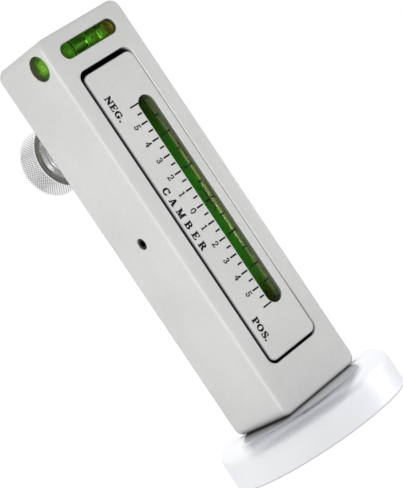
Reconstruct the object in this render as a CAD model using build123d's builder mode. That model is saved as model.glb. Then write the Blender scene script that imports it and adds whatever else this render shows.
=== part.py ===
from build123d import *
import math
import os

# Camber gauge: a tall painted block on a round magnet, with a tilting scale carrier in a pocket in
# its front, a cross level above the pocket, and a thumb screw in its back that trims the carrier.
# Lengths are in millimetres. The origin is the middle of the magnet's lower face. Z points up along
# the block, the scale faces -Y, and X points right for someone who reads the scale.

os.makedirs("parts", exist_ok=True)

# Fits and cuts shared by all pieces
overrun = 1.0                   # how far a cut runs past a face
running_gap = 0.04              # radial play of a pin or screw that turns or slides
vial_fit = 0.05                 # radial play of a vial in its bore
hole_chamfer = 0.25             # broken edge of a drilled hole
mouth_angle = 45.0              # slope of that edge in degrees

# Magnet and the screw that holds the block on it
magnet_diameter = 60.0
magnet_height = 13.0
cup_shoulder_round = 4.2
cup_rim_round = 0.5
cup_wall = 3.0
cup_roof = 4.0
pole_diameter = 21.0
ring_recess = 0.3               # the ring magnet lies this far above the rim
outer_resin_width = 1.0
inner_resin_width = 1.5
magnet_screw_diameter = 6.0
magnet_screw_length = 16.0
magnet_screw_head_diameter = 10.0
magnet_screw_head_height = 6.0
magnet_screw_head_round = 0.4
magnet_screw_head_recess = 0.8
magnet_screw_head_play = 0.5
magnet_screw_hole_play = 0.25
magnet_screw_end_chamfer = 0.6
magnet_screw_socket_width = 5.0
magnet_screw_socket_depth = 3.0
lock_washer_thickness = 1.5
lock_washer_diameter = 10.2
lock_washer_split = 0.8
lock_washer_split_angle = 20.0
tapped_hole_spare = 2.0         # depth of the tapped hole beyond the screw

# Scale and long vial
degree_travel = 5.92            # bubble travel for one degree of camber
reading_limit = 6.0             # degrees on each side of zero
window_end_margin = 1.28        # window beyond the last division
window_width = 6.2
window_wall = 0.5               # between the carrier's front and the bore
window_edge_round = 0.3
vial_side_wall = 1.95           # carrier beside the bore of the long vial
camber_vial_diameter = 8.6
camber_vial_glass = 0.8         # wall of the tube at the middle of its chamber
camber_vial_edge = 0.4
camber_vial_foot_wall = 1.5
camber_chamber_margin = 0.98    # chamber beyond the bubble at the end of its way
camber_stopper_diameter = 4.4
camber_stopper_length = 1.5
camber_bubble_diameter = 2.0
camber_bubble_length = 8.0
camber_bubble_wall_gap = 0.3    # liquid between the bubble and the front wall of the chamber
bubble_path_gap = 0.15          # the liquid stays this far from the way of a bubble

# Carrier
carrier_foot_margin = 8.35      # carrier below the long vial
carrier_top_margin = 8.4        # carrier above the long vial
carrier_side_gap = 0.55
carrier_foot_gap = 0.95
carrier_top_gap = 1.7
carrier_proud = 0.55
carrier_depth = 15.5
carrier_corner = 2.4
carrier_face_round = 0.7
carrier_plug_chamfer = 0.3

# Pivot
pivot_vial_wall = 1.61          # between the bore of the long vial and the hole of the pin
pin_diameter = 3.0
pin_far_seat = 4.5              # length of the pin in the right wall
pin_edge = 0.3
set_screw_step = 0.7            # the set screw is this much thicker than the pin
set_screw_length = 4.0
set_screw_recess = 0.6
set_screw_socket_width = 1.9
set_screw_socket_depth = 2.0

# Thumb screw
adjuster_rise = 36.15           # its axis above the pivot
knob_turns = 1.5                # from the middle to each end of its way
thread_pitch = 1.0
thread_groove = 0.45
thread_land_share = 0.25
stud_diameter = 6.0
stud_tip_diameter = 3.0
stud_tip_length = 1.6
stud_knob_seat = 7.0
thrust_gap = 0.05               # end play of the stud's tip in the pad
pad_diameter = 8.0
pad_thickness = 2.6
pad_dome_radius = 30.0
pad_gap = 0.08                  # play between the pad and the carrier
pad_back_room = 0.87            # between the pad and the pocket's floor when the pad is right back
bushing_wall = 1.5
knob_gap = 15.15                # between the block and the knob
knob_diameter = 22.2
knob_length = 10.0
knob_edge_chamfer = 0.4
knob_rim_width = 2.07
knob_dish_depth = 1.0
knob_collar_wall = 3.3
knob_collar_height = 2.2
knob_collar_round = 0.5

# Return spring
spring_drop = 30.0              # its axis below the pivot
spring_diameter = 7.0
spring_wire = 0.9
spring_turns = 5.5
spring_play = 0.5
spring_housing_seat = 2.0
spring_carrier_seat = 4.0

# Housing
pocket_width = 22.3
pocket_corner = 3.0
pocket_edge_round = 0.3
side_wall = 6.35                # on each side of the pocket
back_wall = 5.7
foot_wall = 2.6                 # between the tapped hole and the pocket
corner_round = 3.3              # of the outline seen from the front
edge_round = 1.3                # of the edges round the front and the back

# Cross level
level_bore_diameter = 8.0
level_bore_spare = 1.0          # the bore runs this far past the end of the slot
level_pocket_wall = 3.3         # between the bore and the pocket
level_top_wall = 2.9            # between the bore and the top
level_front_land = 0.1          # flat between the bore's mouth and the round of the front
level_slot_length = 23.0
level_slot_height = 4.95
level_vial_recess = 1.7
level_vial_end_room = 3.25
level_vial_edge = 0.3
level_vial_glass = 1.05
level_vial_end_wall = 1.1
level_chamber_length = 15.8
level_barrel_radius = 150.0
level_stopper_step = 0.2        # the stopper is this much thinner than the chamber
level_bubble_diameter = 2.7
level_bubble_length = 6.4
level_bubble_shift = -1.8       # rest place of the bubble from the chamber's middle
level_bubble_play = 0.3         # left between the bubble and the chamber's end
level_bubble_wall_gap = 0.5

# Long vial worked out from the scale
reading_way = 2 * reading_limit * degree_travel
window_length = reading_way + 2 * window_end_margin
camber_chamber_length = reading_way + camber_bubble_length + 2 * camber_chamber_margin
camber_chamber_diameter = camber_vial_diameter - 2 * camber_vial_glass
camber_bore_diameter = camber_vial_diameter + 2 * vial_fit
barrel_radius = degree_travel * math.degrees(1)

# Heights, from the magnet's lower face upwards
head_top = magnet_screw_head_recess + magnet_screw_head_height
washer_top = head_top + lock_washer_thickness
magnet_screw_end = head_top + magnet_screw_length
housing_foot = magnet_height
pocket_foot = magnet_screw_end + tapped_hole_spare + foot_wall
carrier_foot = pocket_foot + carrier_foot_gap
camber_vial_foot = carrier_foot + carrier_foot_margin
camber_vial_top = (
    camber_vial_foot + camber_vial_foot_wall + camber_chamber_length + camber_stopper_length
)
camber_bore_foot = camber_vial_foot - vial_fit
carrier_top = camber_vial_top + carrier_top_margin
carrier_height = carrier_top - carrier_foot
pocket_top = carrier_top + carrier_top_gap
pocket_height = pocket_top - pocket_foot
pivot_height = camber_vial_foot + camber_vial_foot_wall + camber_chamber_length / 2
adjuster_height = pivot_height + adjuster_rise
spring_height = pivot_height - spring_drop
level_bore_radius = level_bore_diameter / 2
level_height = pocket_top + level_pocket_wall + level_bore_radius
housing_top = level_height + level_bore_radius + level_top_wall
housing_height = housing_top - housing_foot

# Places along Y, from the front backwards
pocket_depth = (
    carrier_depth
    - carrier_proud
    + pad_gap
    + pad_thickness
    + knob_turns * thread_pitch
    + pad_back_room
)
housing_depth = pocket_depth + back_wall
front_face = -housing_depth / 2
back_face = housing_depth / 2
pocket_floor = front_face + pocket_depth
carrier_front = front_face - carrier_proud
carrier_back = carrier_front + carrier_depth
camber_vial_axis = carrier_front + window_wall + camber_bore_diameter / 2
pin_hole_radius = pin_diameter / 2 + running_gap
pivot_place = camber_vial_axis + camber_bore_diameter / 2 + pivot_vial_wall + pin_hole_radius
level_axis = front_face + edge_round + level_front_land + hole_chamfer + level_bore_radius
pad_front = carrier_back + pad_gap
pad_back = pad_front + pad_thickness
knob_front = back_face + knob_gap
knob_back = knob_front + knob_length

# Radii that two pieces share
set_screw_radius = (pin_diameter + set_screw_step) / 2
stud_radius = stud_diameter / 2
bushing_radius = stud_radius + bushing_wall

# Places along X, from left to right
housing_width = pocket_width + 2 * side_wall
left_face = -housing_width / 2
carrier_width = pocket_width - 2 * carrier_side_gap
window_middle = carrier_width / 2 - vial_side_wall - camber_bore_diameter / 2
pin_left = left_face + set_screw_recess + set_screw_length
pin_right = pocket_width / 2 + pin_far_seat
level_bore_end = level_slot_length / 2 + level_bore_spare
level_vial_diameter = level_bore_diameter - 2 * vial_fit
level_vial_left = left_face + level_vial_recess
level_vial_right = level_bore_end - level_vial_end_room
level_chamber_right = level_vial_right - level_vial_end_wall
level_chamber_left = level_chamber_right - level_chamber_length
level_chamber_middle = (level_chamber_left + level_chamber_right) / 2
level_chamber_diameter = level_vial_diameter - 2 * level_vial_glass


def sagitta(radius, half_length):
    """Depth of an arc of the given radius over half its chord."""
    return radius - math.sqrt(radius**2 - half_length**2)


def half_band(radius, low, high, mode=Mode.ADD):
    """Half outline of a cylinder that reaches from low to high along the turning axis."""
    with Locations((radius / 2, (low + high) / 2)):
        Rectangle(radius, high - low, mode=mode)


def half_barrel(half_length, radius, barrel, mode=Mode.ADD):
    """Half outline of a barrel ground chamber, widest in its middle."""
    end_radius = radius - sagitta(barrel, half_length)
    with BuildLine() as outline:
        Polyline(
            (end_radius, half_length), (0, half_length), (0, -half_length), (end_radius, -half_length)
        )
        ThreePointArc((end_radius, -half_length), (radius, 0), (end_radius, half_length))
    make_face(outline.edges(), mode=mode)


def half_slot(length, diameter):
    """Half outline of a round bar with ball ends."""
    SlotOverall(length, diameter, rotation=90)
    with Locations((-diameter / 2, 0)):
        Rectangle(diameter, length, mode=Mode.SUBTRACT)


# Housing: a block with soft edges, a deep pocket in front, the slot and the bore of the cross level
# above it, the cross hole of the pivot, the hole for the thumb screw's bushing, a seat for the return
# spring in the pocket's floor, and a tapped hole in the foot.
with BuildPart() as housing:
    with BuildSketch(Plane.XZ.offset(-back_face)):
        with Locations((0, (housing_foot + housing_top) / 2)):
            RectangleRounded(housing_width, housing_height, corner_round)
    extrude(amount=housing_depth)
    fillet(housing.faces().sort_by(Axis.Y)[0].edges(), edge_round)
    fillet(housing.faces().sort_by(Axis.Y)[-1].edges(), edge_round)

    with BuildSketch(Plane.XZ.offset(-front_face)):
        with Locations((0, (pocket_foot + pocket_top) / 2)):
            RectangleRounded(pocket_width, pocket_height, pocket_corner)
    extrude(amount=-pocket_depth, mode=Mode.SUBTRACT)
    front_flat = housing.faces().filter_by(Axis.Y).sort_by(Axis.Y)[0]
    fillet(front_flat.inner_wires()[0].edges(), pocket_edge_round)

    with BuildSketch(Plane.XZ.offset(-front_face)):
        with Locations((0, level_height)):
            SlotOverall(level_slot_length, level_slot_height)
    extrude(amount=front_face - level_axis, mode=Mode.SUBTRACT)
    front_flat = housing.faces().filter_by(Axis.Y).sort_by(Axis.Y)[0]
    slot_wire = ShapeList(front_flat.inner_wires()).sort_by(Axis.Z)[-1]
    chamfer(slot_wire.edges(), hole_chamfer)

    with BuildSketch(Plane.YZ.offset(left_face)):
        with Locations((level_axis, level_height)):
            Circle(level_bore_radius)
    extrude(amount=level_bore_end - left_face, mode=Mode.SUBTRACT)
    with BuildSketch(Plane.YZ.offset(left_face)):
        with Locations((level_axis, level_height)):
            Circle(level_bore_radius + hole_chamfer)
    extrude(amount=hole_chamfer, taper=mouth_angle, mode=Mode.SUBTRACT)
    with Locations(Plane(origin=(left_face, pivot_place, pivot_height), z_dir=(-1, 0, 0))):
        CounterBoreHole(
            radius=pin_diameter / 2,
            counter_bore_radius=set_screw_radius,
            counter_bore_depth=set_screw_recess + set_screw_length,
            depth=pin_right - left_face,
        )
    left_flat = housing.faces().filter_by(Axis.X).sort_by(Axis.X)[0]
    chamfer([hole.edge() for hole in left_flat.inner_wires()], hole_chamfer)

    with BuildSketch(Plane.XZ.offset(-back_face)):
        with Locations((0, adjuster_height)):
            Circle(bushing_radius)
    extrude(amount=back_wall, mode=Mode.SUBTRACT)
    with BuildSketch(Plane.XZ.offset(-pocket_floor)):
        with Locations((0, spring_height)):
            Circle(spring_diameter / 2 + spring_play)
    extrude(amount=-spring_housing_seat, mode=Mode.SUBTRACT)
    with BuildSketch(Plane.XY.offset(housing_foot)):
        Circle(magnet_screw_diameter / 2)
    extrude(amount=magnet_screw_end + tapped_hole_spare - housing_foot, mode=Mode.SUBTRACT)
housing.part.label = "housing"
export_step(housing.part, "parts/housing.step")

# Scale carrier: the block whose front carries the scale. A bore from its top end takes the long vial,
# and a window is milled through its front into that bore. The pivot's cross hole lies behind the
# vial, and a seat in the back takes the return spring.
with BuildPart() as scale_carrier:
    with BuildSketch(Plane.XZ.offset(-carrier_back)):
        with Locations((0, (carrier_foot + carrier_top) / 2)):
            RectangleRounded(carrier_width, carrier_height, carrier_corner)
    extrude(amount=carrier_depth)
    fillet(scale_carrier.faces().sort_by(Axis.Y)[0].edges(), carrier_face_round)

    with BuildSketch(Plane.XZ.offset(-carrier_front)):
        with Locations((window_middle, pivot_height)):
            SlotOverall(window_length, window_width, rotation=90)
    extrude(amount=carrier_front - camber_vial_axis, mode=Mode.SUBTRACT)
    scale_face = scale_carrier.faces().filter_by(Axis.Y).sort_by(Axis.Y)[0]
    fillet(scale_face.inner_wires()[0].edges(), window_edge_round)

    with BuildSketch(Plane.XY.offset(camber_bore_foot)):
        with Locations((window_middle, camber_vial_axis)):
            Circle(camber_bore_diameter / 2)
    extrude(amount=carrier_top - camber_bore_foot, mode=Mode.SUBTRACT)
    with BuildSketch(Plane.YZ.offset(-carrier_width / 2 - overrun)):
        with Locations((pivot_place, pivot_height)):
            Circle(pin_hole_radius)
    extrude(amount=carrier_width + 2 * overrun, mode=Mode.SUBTRACT)
    with BuildSketch(Plane.XZ.offset(-carrier_back)):
        with Locations((0, spring_height)):
            Circle(spring_diameter / 2 + spring_play)
    extrude(amount=spring_carrier_seat, mode=Mode.SUBTRACT)
scale_carrier.part.label = "scale_carrier"
export_step(scale_carrier.part, "parts/scale_carrier.step")

# Plug that closes the carrier's bore above the long vial
with BuildPart() as carrier_plug:
    with BuildSketch(Plane.XY.offset(camber_vial_top + vial_fit)):
        with Locations((window_middle, camber_vial_axis)):
            Circle(camber_bore_diameter / 2)
    extrude(amount=carrier_top - camber_vial_top - vial_fit)
    chamfer(carrier_plug.edges().group_by(Axis.Z)[-1], carrier_plug_chamfer)
carrier_plug.part.label = "carrier_plug"
export_step(carrier_plug.part, "parts/carrier_plug.step")

# Long vial. Its chamber is ground to a barrel whose radius makes the bubble travel one division of
# the scale for each degree. Half outlines have their radii along X and their places along Z.
camber_plane = Plane(
    origin=(window_middle, camber_vial_axis, pivot_height), x_dir=(1, 0, 0), z_dir=(0, -1, 0)
)
camber_axis = Axis(camber_plane.origin, (0, 0, 1))
camber_foot = camber_vial_foot - pivot_height
camber_top = camber_vial_top - pivot_height
camber_chamber_half = camber_chamber_length / 2
camber_chamber_radius = camber_chamber_diameter / 2
with BuildPart() as camber_vial_tube:
    with BuildSketch(camber_plane):
        half_band(camber_vial_diameter / 2, camber_foot, camber_top)
        half_barrel(camber_chamber_half, camber_chamber_radius, barrel_radius, Mode.SUBTRACT)
        half_band(camber_stopper_diameter / 2, camber_chamber_half, camber_top, Mode.SUBTRACT)
    revolve(axis=camber_axis)
    vial_ends = camber_vial_tube.faces().filter_by(Axis.Z).sort_by(Axis.Z)
    chamfer([end.outer_wire().edge() for end in (vial_ends[0], vial_ends[-1])], camber_vial_edge)
camber_vial_tube.part.label = "camber_vial_tube"
export_step(camber_vial_tube.part, "parts/camber_vial_tube.step")

with BuildPart() as camber_vial_stopper:
    with BuildSketch(camber_plane):
        half_band(camber_stopper_diameter / 2, camber_chamber_half, camber_top)
    revolve(axis=camber_axis)
camber_vial_stopper.part.label = "camber_vial_stopper"
export_step(camber_vial_stopper.part, "parts/camber_vial_stopper.step")

# The bubble lies along the front wall of the chamber, and its way is an arc about the barrel's middle.
bubble_swing_radius = barrel_radius - camber_bubble_wall_gap - camber_bubble_diameter / 2
swing_middle = camber_vial_axis - camber_chamber_radius + barrel_radius
bubble_place = swing_middle - bubble_swing_radius
bubble_plane = Plane(
    origin=(window_middle, bubble_place, pivot_height), x_dir=(1, 0, 0), z_dir=(0, -1, 0)
)
with BuildPart() as camber_vial_bubble:
    with BuildSketch(bubble_plane):
        half_slot(camber_bubble_length, camber_bubble_diameter)
    revolve(axis=Axis(bubble_plane.origin, (0, 0, 1)))
camber_vial_bubble.part.label = "camber_vial_bubble"
export_step(camber_vial_bubble.part, "parts/camber_vial_bubble.step")

# Liquid of the long vial, open along the bubble's whole way
bubble_straight = (camber_bubble_length - camber_bubble_diameter) / 2
swing_end = math.radians(reading_limit) + bubble_straight / bubble_swing_radius
way_end_place = swing_middle - bubble_swing_radius * math.cos(swing_end)
way_end_rise = bubble_swing_radius * math.sin(swing_end)
way_low = (window_middle, way_end_place, pivot_height - way_end_rise)
way_high = (window_middle, way_end_place, pivot_height + way_end_rise)
with BuildPart() as camber_vial_liquid:
    with BuildSketch(camber_plane):
        half_barrel(camber_chamber_half, camber_chamber_radius, barrel_radius)
    revolve(axis=camber_axis)
    with BuildSketch(Plane(origin=way_low, z_dir=(0, -math.sin(swing_end), math.cos(swing_end)))):
        Circle(camber_bubble_diameter / 2 + bubble_path_gap)
    revolve(
        axis=Axis((window_middle, swing_middle, pivot_height), (-1, 0, 0)),
        revolution_arc=2 * math.degrees(swing_end),
        mode=Mode.SUBTRACT,
    )
    with Locations(way_low, way_high):
        Sphere(camber_bubble_diameter / 2 + bubble_path_gap, mode=Mode.SUBTRACT)
camber_vial_liquid.part.label = "camber_vial_liquid"
export_step(camber_vial_liquid.part, "parts/camber_vial_liquid.step")

# Cross level. Half outlines have their radii along Z and their places along X from the middle of the
# chamber. Its long stopper is what shows in the hole in the left side.
level_plane = Plane(
    origin=(level_chamber_middle, level_axis, level_height), x_dir=(0, 0, 1), z_dir=(0, 1, 0)
)
level_turn = Axis(level_plane.origin, (1, 0, 0))
level_chamber_half = level_chamber_length / 2
level_stopper_radius = (level_chamber_diameter - level_stopper_step) / 2
level_left = level_vial_left - level_chamber_middle
level_right = level_vial_right - level_chamber_middle
with BuildPart() as level_vial_tube:
    with BuildSketch(level_plane):
        half_band(level_vial_diameter / 2, level_left, level_right)
        half_barrel(
            level_chamber_half, level_chamber_diameter / 2, level_barrel_radius, Mode.SUBTRACT
        )
        half_band(level_stopper_radius, level_left, -level_chamber_half, Mode.SUBTRACT)
    revolve(axis=level_turn)
    vial_ends = level_vial_tube.faces().filter_by(Axis.X).sort_by(Axis.X)
    chamfer([end.outer_wire().edge() for end in (vial_ends[0], vial_ends[-1])], level_vial_edge)
level_vial_tube.part.label = "level_vial_tube"
export_step(level_vial_tube.part, "parts/level_vial_tube.step")

with BuildPart() as level_vial_stopper:
    with BuildSketch(level_plane):
        half_band(level_stopper_radius, level_left, -level_chamber_half)
    revolve(axis=level_turn)
level_vial_stopper.part.label = "level_vial_stopper"
export_step(level_vial_stopper.part, "parts/level_vial_stopper.step")

level_bubble_place = (
    level_axis - level_chamber_diameter / 2 + level_bubble_wall_gap + level_bubble_diameter / 2
)
level_bubble_plane = Plane(
    origin=(level_chamber_middle + level_bubble_shift, level_bubble_place, level_height),
    x_dir=(0, 0, 1),
    z_dir=(0, 1, 0),
)
with BuildPart() as level_vial_bubble:
    with BuildSketch(level_bubble_plane):
        half_slot(level_bubble_length, level_bubble_diameter)
    revolve(axis=Axis(level_bubble_plane.origin, (1, 0, 0)))
level_vial_bubble.part.label = "level_vial_bubble"
export_step(level_vial_bubble.part, "parts/level_vial_bubble.step")

# Liquid of the cross level, open along the bubble's whole way
level_way_plane = Plane(
    origin=(level_chamber_middle, level_bubble_place, level_height),
    x_dir=(0, 0, 1),
    z_dir=(0, 1, 0),
)
level_way_length = level_chamber_length - 2 * level_bubble_play + 2 * bubble_path_gap
with BuildPart() as level_vial_liquid:
    with BuildSketch(level_plane):
        half_barrel(level_chamber_half, level_chamber_diameter / 2, level_barrel_radius)
    revolve(axis=level_turn)
    with BuildSketch(level_way_plane):
        half_slot(level_way_length, level_bubble_diameter + 2 * bubble_path_gap)
    revolve(axis=Axis(level_way_plane.origin, (1, 0, 0)), mode=Mode.SUBTRACT)
level_vial_liquid.part.label = "level_vial_liquid"
export_step(level_vial_liquid.part, "parts/level_vial_liquid.step")

# Pivot: the cross pin and the set screw that keeps it in
with BuildPart() as pivot_pin:
    with BuildSketch(Plane.YZ.offset(pin_left)):
        with Locations((pivot_place, pivot_height)):
            Circle(pin_diameter / 2)
    extrude(amount=pin_right - pin_left)
    chamfer(pivot_pin.edges().filter_by(GeomType.CIRCLE), pin_edge)
pivot_pin.part.label = "pivot_pin"
export_step(pivot_pin.part, "parts/pivot_pin.step")

with BuildPart() as pivot_set_screw:
    with BuildSketch(Plane.YZ.offset(pin_left)):
        with Locations((pivot_place, pivot_height)):
            Circle(set_screw_radius)
    extrude(amount=-set_screw_length)
    with BuildSketch(Plane.YZ.offset(left_face + set_screw_recess)):
        with Locations((pivot_place, pivot_height)):
            RegularPolygon(set_screw_socket_width / 2, 6, major_radius=False)
    extrude(amount=set_screw_socket_depth, mode=Mode.SUBTRACT)
pivot_set_screw.part.label = "pivot_set_screw"
export_step(pivot_set_screw.part, "parts/pivot_set_screw.step")

# Thumb screw. Half outlines have their radii along X and their places along Y.
adjuster_plane = Plane(
    origin=(0, 0, adjuster_height), x_dir=(1, 0, 0), z_dir=(0, 0, 1)
)
adjuster_axis = Axis(adjuster_plane.origin, (0, 1, 0))
tip_radius = stud_tip_diameter / 2
tip_front = pad_back - stud_tip_length
stud_shoulder = pad_back + thrust_gap
stud_end = knob_front + stud_knob_seat
thread_turns = int((knob_front - stud_shoulder) / thread_pitch)
half_land = thread_pitch * thread_land_share / 2
with BuildPart() as adjuster_screw:
    with BuildSketch(adjuster_plane):
        with BuildLine():
            outline = [
                (0, tip_front),
                (tip_radius, tip_front),
                (tip_radius, stud_shoulder),
                (stud_radius - thread_groove, stud_shoulder),
            ]
            for turn in range(thread_turns):
                crest = stud_shoulder + turn * thread_pitch + thread_pitch / 2
                outline.append((stud_radius, crest - half_land))
                outline.append((stud_radius, crest + half_land))
                outline.append((stud_radius - thread_groove, crest + thread_pitch / 2))
            thread_end = stud_shoulder + thread_turns * thread_pitch
            outline.append((stud_radius, thread_end + thread_groove))
            outline.append((stud_radius, stud_end))
            outline.append((0, stud_end))
            Polyline(*outline, close=True)
        make_face()
    revolve(axis=adjuster_axis)
adjuster_screw.part.label = "adjuster_screw"
export_step(adjuster_screw.part, "parts/adjuster_screw.step")

# Pad on the tip of the screw, with a faintly domed face towards the carrier
pad_radius = pad_diameter / 2
with BuildPart() as thrust_pad:
    with BuildSketch(adjuster_plane):
        with BuildLine():
            dome = ThreePointArc(
                (0, pad_front),
                (pad_radius / 2, pad_front + sagitta(pad_dome_radius, pad_radius / 2)),
                (pad_radius, pad_front + sagitta(pad_dome_radius, pad_radius)),
            )
            Polyline(dome @ 1, (pad_radius, pad_back), (0, pad_back), dome @ 0)
        make_face()
        half_band(tip_radius + running_gap, tip_front - thrust_gap, pad_back, Mode.SUBTRACT)
    revolve(axis=adjuster_axis)
thrust_pad.part.label = "thrust_pad"
export_step(thrust_pad.part, "parts/thrust_pad.step")

with BuildPart() as screw_bushing:
    with BuildSketch(Plane.XZ.offset(-back_face)):
        with Locations((0, adjuster_height)):
            Circle(bushing_radius)
            Circle(stud_radius + running_gap, mode=Mode.SUBTRACT)
    extrude(amount=back_wall)
    chamfer(screw_bushing.faces().sort_by(Axis.Y)[-1].inner_wires()[0].edges(), hole_chamfer)
screw_bushing.part.label = "screw_bushing"
export_step(screw_bushing.part, "parts/screw_bushing.step")

# Knob: a disc whose face towards the block is dished round a collar, bored for the screw
collar_front = knob_front + knob_dish_depth - knob_collar_height
with BuildPart() as adjuster_knob:
    with BuildSketch(Plane.XZ.offset(-knob_back)):
        with Locations((0, adjuster_height)):
            Circle(knob_diameter / 2)
    extrude(amount=knob_length)
    chamfer(adjuster_knob.edges().filter_by(GeomType.CIRCLE), knob_edge_chamfer)
    with BuildSketch(Plane.XZ.offset(-knob_front)):
        with Locations((0, adjuster_height)):
            Circle(knob_diameter / 2 - knob_rim_width)
    extrude(amount=-knob_dish_depth, mode=Mode.SUBTRACT)
    with BuildSketch(Plane.XZ.offset(-knob_front - knob_dish_depth)):
        with Locations((0, adjuster_height)):
            Circle(stud_radius + knob_collar_wall)
    extrude(amount=knob_collar_height)
    fillet(adjuster_knob.faces().sort_by(Axis.Y)[0].edges(), knob_collar_round)
    with BuildSketch(Plane.XZ.offset(-stud_end)):
        with Locations((0, adjuster_height)):
            Circle(stud_radius)
    extrude(amount=stud_end - collar_front, mode=Mode.SUBTRACT)
adjuster_knob.part.label = "adjuster_knob"
export_step(adjuster_knob.part, "parts/adjuster_knob.step")

# Return spring: it lies along Y between its seats in the carrier and in the pocket's floor.
spring_front = carrier_back - spring_carrier_seat
spring_back = pocket_floor + spring_housing_seat
spring_rise = spring_back - spring_front - spring_wire
spring_pitch = spring_rise / spring_turns
with BuildPart() as return_spring:
    with BuildLine():
        coil = Helix(
            pitch=spring_pitch,
            height=spring_rise,
            radius=(spring_diameter - spring_wire) / 2,
            center=(0, spring_front + spring_wire / 2, spring_height),
            direction=(0, 1, 0),
        )
    with BuildSketch(Plane(origin=coil @ 0, z_dir=coil % 0)):
        Circle(spring_wire / 2)
    sweep(is_frenet=True)
return_spring.part.label = "return_spring"
export_step(return_spring.part, "parts/return_spring.step")
print("least gap between the spring's turns", round(spring_pitch - spring_wire, 2))

# Magnet: a steel cup with a centre pole, the ring magnet in its groove, and resin on both sides
cup_inner_radius = magnet_diameter / 2 - cup_wall
pole_radius = pole_diameter / 2
cup_ceiling = magnet_height - cup_roof
with BuildPart() as magnet_cup:
    with BuildSketch(Plane.XY):
        Circle(magnet_diameter / 2)
    extrude(amount=magnet_height)
    fillet(magnet_cup.faces().sort_by(Axis.Z)[-1].edges(), cup_shoulder_round)
    fillet(magnet_cup.faces().sort_by(Axis.Z)[0].edges(), cup_rim_round)
    with BuildSketch(Plane.XY):
        Circle(cup_inner_radius)
        Circle(pole_radius, mode=Mode.SUBTRACT)
    extrude(amount=cup_ceiling, mode=Mode.SUBTRACT)
    with Locations(-Plane.XY):
        CounterBoreHole(
            radius=magnet_screw_diameter / 2 + magnet_screw_hole_play,
            counter_bore_radius=magnet_screw_head_diameter / 2 + magnet_screw_head_play,
            counter_bore_depth=washer_top,
            depth=magnet_height,
        )
magnet_cup.part.label = "magnet_cup"
export_step(magnet_cup.part, "parts/magnet_cup.step")

with BuildPart() as ring_magnet:
    with BuildSketch(Plane.XY.offset(ring_recess)):
        Circle(cup_inner_radius - outer_resin_width)
        Circle(pole_radius + inner_resin_width, mode=Mode.SUBTRACT)
    extrude(amount=cup_ceiling - ring_recess)
ring_magnet.part.label = "ring_magnet"
export_step(ring_magnet.part, "parts/ring_magnet.step")

with BuildPart() as outer_resin_ring:
    with BuildSketch(Plane.XY.offset(ring_recess)):
        Circle(cup_inner_radius)
        Circle(cup_inner_radius - outer_resin_width, mode=Mode.SUBTRACT)
    extrude(amount=cup_ceiling - ring_recess)
outer_resin_ring.part.label = "outer_resin_ring"
export_step(outer_resin_ring.part, "parts/outer_resin_ring.step")

with BuildPart() as inner_resin_ring:
    with BuildSketch(Plane.XY.offset(ring_recess)):
        Circle(pole_radius + inner_resin_width)
        Circle(pole_radius, mode=Mode.SUBTRACT)
    extrude(amount=cup_ceiling - ring_recess)
inner_resin_ring.part.label = "inner_resin_ring"
export_step(inner_resin_ring.part, "parts/inner_resin_ring.step")

# Screw that holds the block on the magnet, with its lock washer, both put in from below
with BuildPart() as magnet_screw:
    with BuildSketch(Plane.XY.offset(magnet_screw_head_recess)):
        Circle(magnet_screw_head_diameter / 2)
    extrude(amount=magnet_screw_head_height)
    fillet(magnet_screw.faces().sort_by(Axis.Z)[0].edges(), magnet_screw_head_round)
    with BuildSketch(Plane.XY.offset(head_top)):
        Circle(magnet_screw_diameter / 2)
    extrude(amount=magnet_screw_length)
    chamfer(magnet_screw.faces().sort_by(Axis.Z)[-1].edges(), magnet_screw_end_chamfer)
    with BuildSketch(Plane.XY.offset(magnet_screw_head_recess)):
        RegularPolygon(magnet_screw_socket_width / 2, 6, major_radius=False)
    extrude(amount=magnet_screw_socket_depth, mode=Mode.SUBTRACT)
magnet_screw.part.label = "magnet_screw"
export_step(magnet_screw.part, "parts/magnet_screw.step")

with BuildPart() as lock_washer:
    with BuildSketch(Plane.XY.offset(head_top)):
        Circle(lock_washer_diameter / 2)
        Circle(magnet_screw_diameter / 2 + magnet_screw_hole_play, mode=Mode.SUBTRACT)
    extrude(amount=lock_washer_thickness)
    with BuildSketch(Plane.YZ):
        with Locations((0, head_top + lock_washer_thickness / 2)):
            Rectangle(lock_washer_split, lock_washer_diameter, rotation=lock_washer_split_angle)
    extrude(amount=lock_washer_diameter, mode=Mode.SUBTRACT)
lock_washer.part.label = "lock_washer"
export_step(lock_washer.part, "parts/lock_washer.step")
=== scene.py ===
import math

import bmesh
import bpy
import numpy as np
from mathutils import Matrix, Vector


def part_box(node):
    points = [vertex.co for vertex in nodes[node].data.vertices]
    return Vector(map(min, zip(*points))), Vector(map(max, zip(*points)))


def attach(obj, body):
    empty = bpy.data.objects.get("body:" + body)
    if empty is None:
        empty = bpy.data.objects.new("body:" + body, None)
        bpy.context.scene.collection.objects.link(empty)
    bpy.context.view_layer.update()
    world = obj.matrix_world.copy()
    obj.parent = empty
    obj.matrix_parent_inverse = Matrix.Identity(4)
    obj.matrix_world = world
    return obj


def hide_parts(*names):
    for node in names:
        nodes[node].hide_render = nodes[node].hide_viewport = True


# Looks of a camber gauge: a painted block on a round magnet, with a tilting scale carrier, two
# vials and a knurled thumb screw. The scale faces -Y and Z points up along the block. Places and
# sizes are in millimetres in the frame of the CAD part, and MM turns them into Blender's metres.

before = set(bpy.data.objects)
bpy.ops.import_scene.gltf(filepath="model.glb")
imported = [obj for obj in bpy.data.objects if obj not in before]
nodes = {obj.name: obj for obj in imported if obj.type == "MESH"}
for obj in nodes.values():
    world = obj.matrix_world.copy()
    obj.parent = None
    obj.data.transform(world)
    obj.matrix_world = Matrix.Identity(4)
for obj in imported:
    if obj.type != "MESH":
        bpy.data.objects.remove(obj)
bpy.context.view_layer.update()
MM = 0.001


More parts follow.
